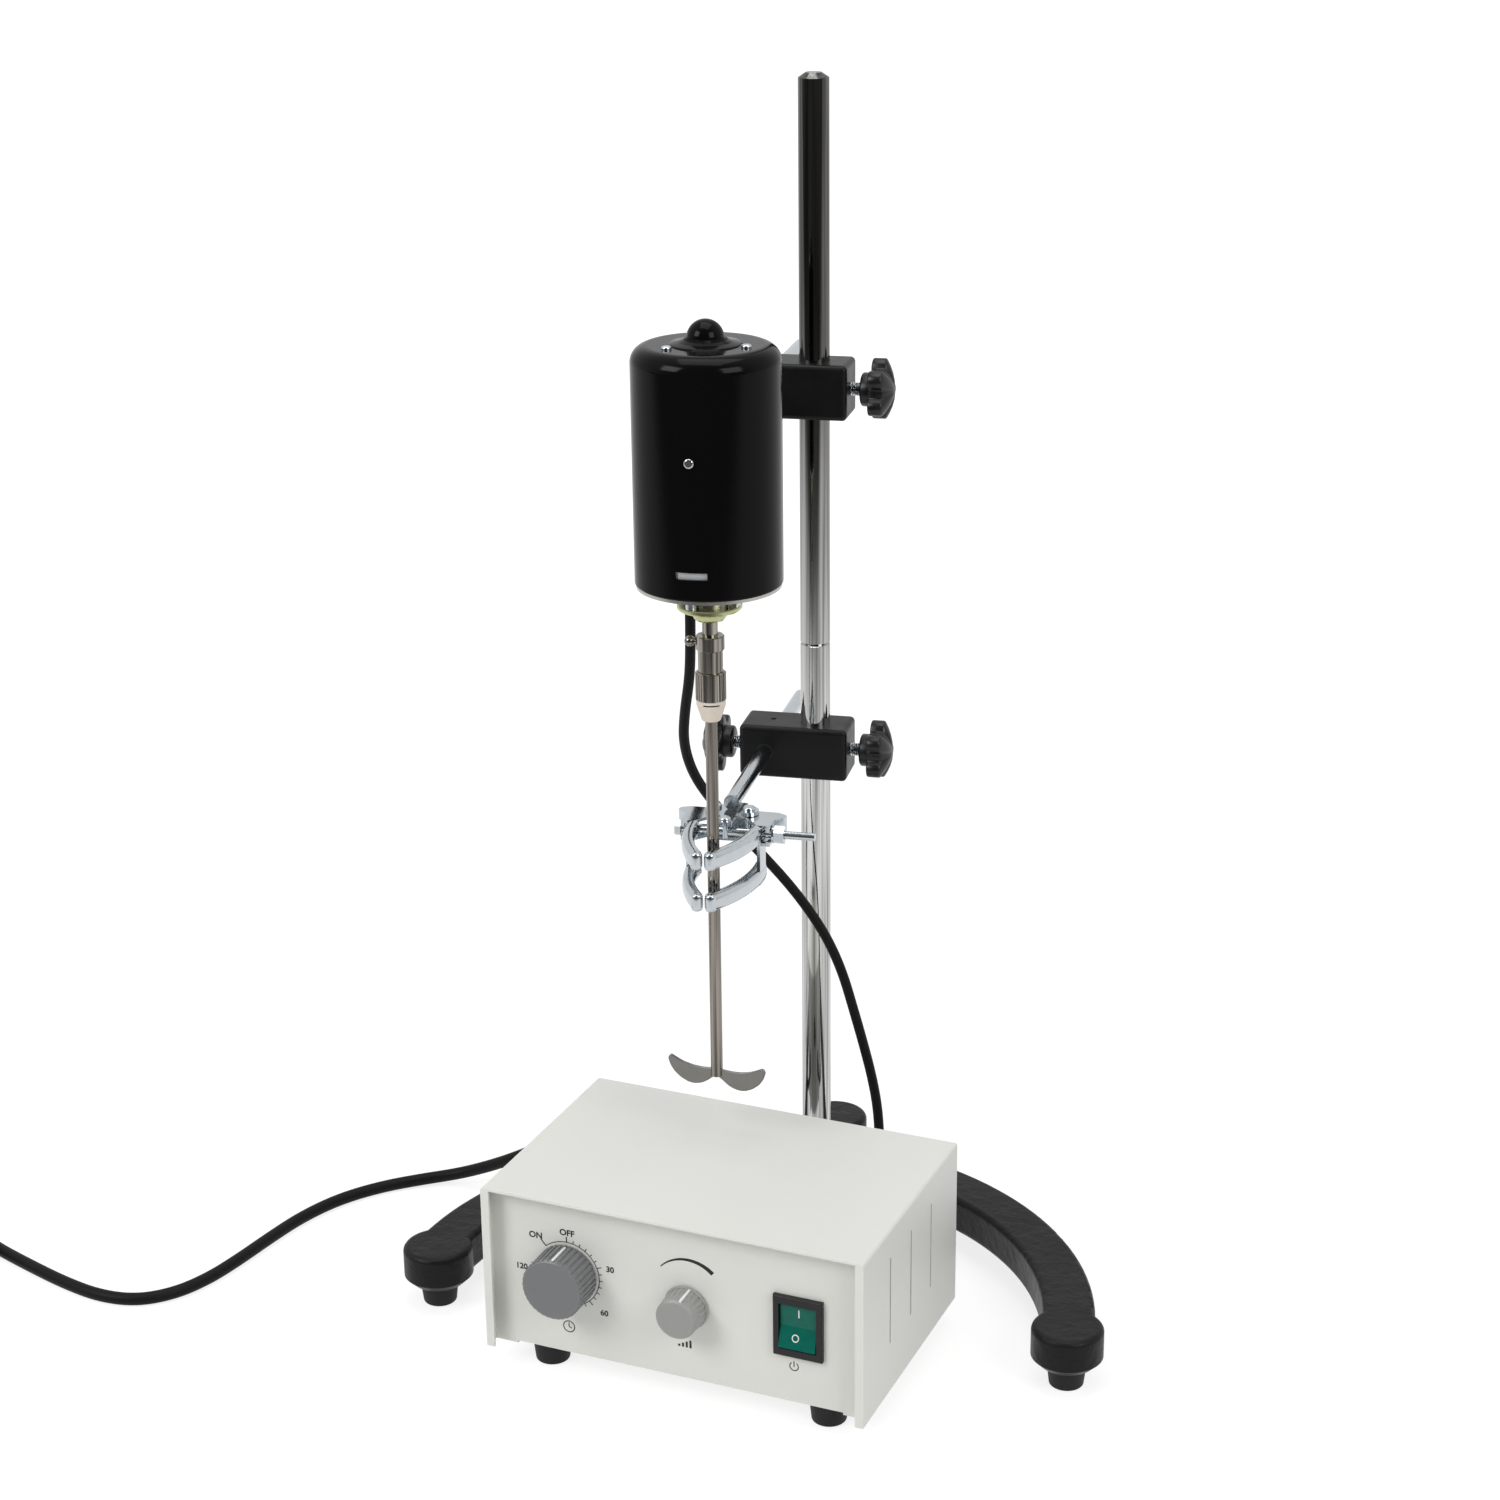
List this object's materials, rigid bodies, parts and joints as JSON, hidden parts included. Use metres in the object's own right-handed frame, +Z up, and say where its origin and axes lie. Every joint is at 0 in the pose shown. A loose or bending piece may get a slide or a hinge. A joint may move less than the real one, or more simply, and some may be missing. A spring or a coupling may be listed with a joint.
{
  "type": "overhead stirrer",
  "caption": "Overhead laboratory stirrer: horseshoe stand and rod, motor with chuck and paddle on a sliding arm, claw clamp, and separate control box with timer and speed dials.",
  "frame": {"origin": "on the bench, at the middle of the outline of the stand, arms and control box, cords left out", "axes": "+Z up along the rod, +Y towards the stand's back foot, -Y towards the control panel, +X to the right of someone facing the control panel"},
  "size_m": [0.6813, 0.3867, 0.612],
  "materials": {
    "black_casting": "fine textured black enamel on cast iron",
    "rubber": "matt black rubber",
    "zinc_steel": "bright bluish zinc plating",
    "chrome_rod": "bright chrome plating",
    "black_block": "smooth satin black enamel",
    "black_knob": "moulded black plastic on a steel screw",
    "black_shell": "glossy black enamel",
    "bright_steel": "bare turned steel",
    "yellow_zinc": "yellow-green passivated zinc",
    "laminations": "stacked steel laminations",
    "copper_wire": "varnished copper winding",
    "nickel_steel": "warm nickel plating",
    "cream_plastic": "cream moulded plastic",
    "stirrer_steel": "drawn stainless steel",
    "white_paint": "white powder coat on steel sheet",
    "grey_knob": "mid grey moulded plastic",
    "light_grey_knob": "light grey moulded plastic",
    "black_plastic": "black moulded plastic",
    "green_plastic": "green translucent moulded plastic",
    "board_green": "green circuit board and its parts",
    "black_cord": "black flexible cord sheath"
  },
  "bodies": {
    "stand": {"base_casting": "black_casting", "base_feet": "rubber", "base_nut": "zinc_steel", "lower_rod": "chrome_rod", "upper_rod": "chrome_rod", "box_cover": "white_paint", "box_chassis": "white_paint", "box_feet": "rubber", "machine_screws": "zinc_steel", "timer_body": "bright_steel", "pot_body": "bright_steel", "switch_housing": "black_plastic", "control_board": "board_green", "fuse_holder": "black_plastic", "cord_glands": "rubber", "motor_cord": "black_cord", "mains_cord": "black_cord", "mains_coil": "black_cord", "coil_tie": "black_plastic", "mains_plug": "black_plastic"},
    "timer_dial": {"timer_shaft": "bright_steel", "timer_knob": "grey_knob"},
    "speed_dial": {"speed_shaft": "bright_steel", "speed_knob": "light_grey_knob"},
    "power_switch": {"switch_rocker": "green_plastic"},
    "motor_carriage": {"upper_block": "black_block", "motor_bar": "chrome_rod", "motor_shell": "black_shell", "motor_cap": "black_shell", "motor_screws": "zinc_steel", "bottom_plate": "bright_steel", "bearing_flange": "yellow_zinc", "cord_grommet": "rubber", "stator_core": "laminations", "field_coils": "copper_wire", "brush_gear": "black_plastic", "motor_bearings": "bright_steel"},
    "upper_rod_clamp": {"upper_rod_knob": "black_knob"},
    "upper_bar_clamp": {"upper_bar_knob": "black_knob"},
    "motor_rotor": {"motor_shaft": "bright_steel", "armature": "copper_wire", "chuck_body": "nickel_steel", "chuck_set_screw": "nickel_steel", "chuck_collet": "bright_steel"},
    "chuck_grip": {"chuck_sleeve": "nickel_steel", "chuck_nose": "cream_plastic"},
    "stirrer": {"stirrer_shaft": "stirrer_steel", "stirrer_blade": "stirrer_steel"},
    "claw_carriage": {"lower_block": "black_block", "claw_bar": "zinc_steel", "claw_frame": "zinc_steel", "claw_pins": "zinc_steel"},
    "lower_rod_clamp": {"lower_rod_knob": "black_knob"},
    "lower_bar_clamp": {"lower_bar_knob": "black_knob"},
    "claw_right_jaw": {"right_jaw": "zinc_steel"},
    "claw_left_jaw": {"left_jaw": "zinc_steel"},
    "claw_cross_screw": {"cross_screw": "zinc_steel"},
    "claw_adjusting_nut": {"claw_nut": "zinc_steel"}
  },
  "joints": [
    {"name": "motor_height", "type": "slide", "parent": "stand", "child": "motor_carriage", "axis": [0, 0, 1], "range_m": [-0.015, 0.05], "deforming": ["motor_cord"]},
    {"name": "upper_rod_clamp_turn", "type": "hinge", "parent": "motor_carriage", "child": "upper_rod_clamp", "pos_m": [0.01868, 0.07424, 0.457], "axis": [0.999, 0.0436, 0], "range_deg": [-90, 720]},
    {"name": "upper_bar_clamp_turn", "type": "hinge", "parent": "motor_carriage", "child": "upper_bar_clamp", "pos_m": [-0.03796, 0.07176, 0.457], "axis": [-0.999, -0.0436, 0], "range_deg": [-90, 720]},
    {"name": "motor_spin", "type": "hinge", "parent": "motor_carriage", "child": "motor_rotor", "pos_m": [-0.01875, -0.05652, 0.36], "axis": [0, 0, 1], "continuous": true},
    {"name": "chuck_sleeve_turn", "type": "hinge", "parent": "motor_rotor", "child": "chuck_grip", "pos_m": [-0.01875, -0.05652, 0.34], "axis": [0, 0, 1], "range_deg": [-30, 300]},
    {"name": "stirrer_reach", "type": "slide", "parent": "motor_rotor", "child": "stirrer", "axis": [0, 0, 1], "range_m": [-0.01, 0.005]},
    {"name": "claw_height", "type": "slide", "parent": "stand", "child": "claw_carriage", "axis": [0, 0, 1], "range_m": [-0.02, 0.02]},
    {"name": "lower_rod_clamp_turn", "type": "hinge", "parent": "claw_carriage", "child": "lower_rod_clamp", "pos_m": [0.01868, 0.07424, 0.266], "axis": [0.999, 0.0436, 0], "range_deg": [-90, 720]},
    {"name": "lower_bar_clamp_turn", "type": "hinge", "parent": "claw_carriage", "child": "lower_bar_clamp", "pos_m": [-0.03796, 0.07176, 0.266], "axis": [-0.999, -0.0436, 0], "range_deg": [-90, 720]},
    {"name": "right_jaw_swing", "type": "hinge", "parent": "claw_carriage", "child": "claw_right_jaw", "pos_m": [-0.01205, -0.01519, 0.255], "axis": [0, 0, 1], "range_deg": [0, 12]},
    {"name": "left_jaw_swing", "type": "hinge", "parent": "claw_carriage", "child": "claw_left_jaw", "pos_m": [-0.02903, -0.01593, 0.255], "axis": [0, 0, 1], "range_deg": [-12, 0]},
    {"name": "cross_screw_slide", "type": "slide", "parent": "claw_carriage", "child": "claw_cross_screw", "axis": [-0.999, -0.0436, 0], "range_m": [0, 0.003]},
    {"name": "adjusting_nut_slide", "type": "slide", "parent": "claw_carriage", "child": "claw_adjusting_nut", "axis": [0.999, 0.0436, 0], "range_m": [0, 0.003]},
    {"name": "timer_turn", "type": "hinge", "parent": "stand", "child": "timer_dial", "pos_m": [-0.07415, -0.13289, 0.0578], "axis": [0.1374, 0.9905, 0], "range_deg": [-41, 288]},
    {"name": "speed_turn", "type": "hinge", "parent": "stand", "child": "speed_dial", "pos_m": [-0.01096, -0.14166, 0.0534], "axis": [0.1374, 0.9905, 0], "range_deg": [0, 300]},
    {"name": "power_rocker", "type": "hinge", "parent": "stand", "child": "power_switch", "pos_m": [0.047, -0.14889, 0.0553], "axis": [0.9905, -0.1374, 0], "range_deg": [0, 14]}
  ],
  "couplings": [
    {"joint": "left_jaw_swing", "follows": "right_jaw_swing", "ratio": -1},
    {"joint": "cross_screw_slide", "follows": "right_jaw_swing", "m_per_rad": 0.012},
    {"joint": "adjusting_nut_slide", "follows": "right_jaw_swing", "m_per_rad": 0.012}
  ]
}
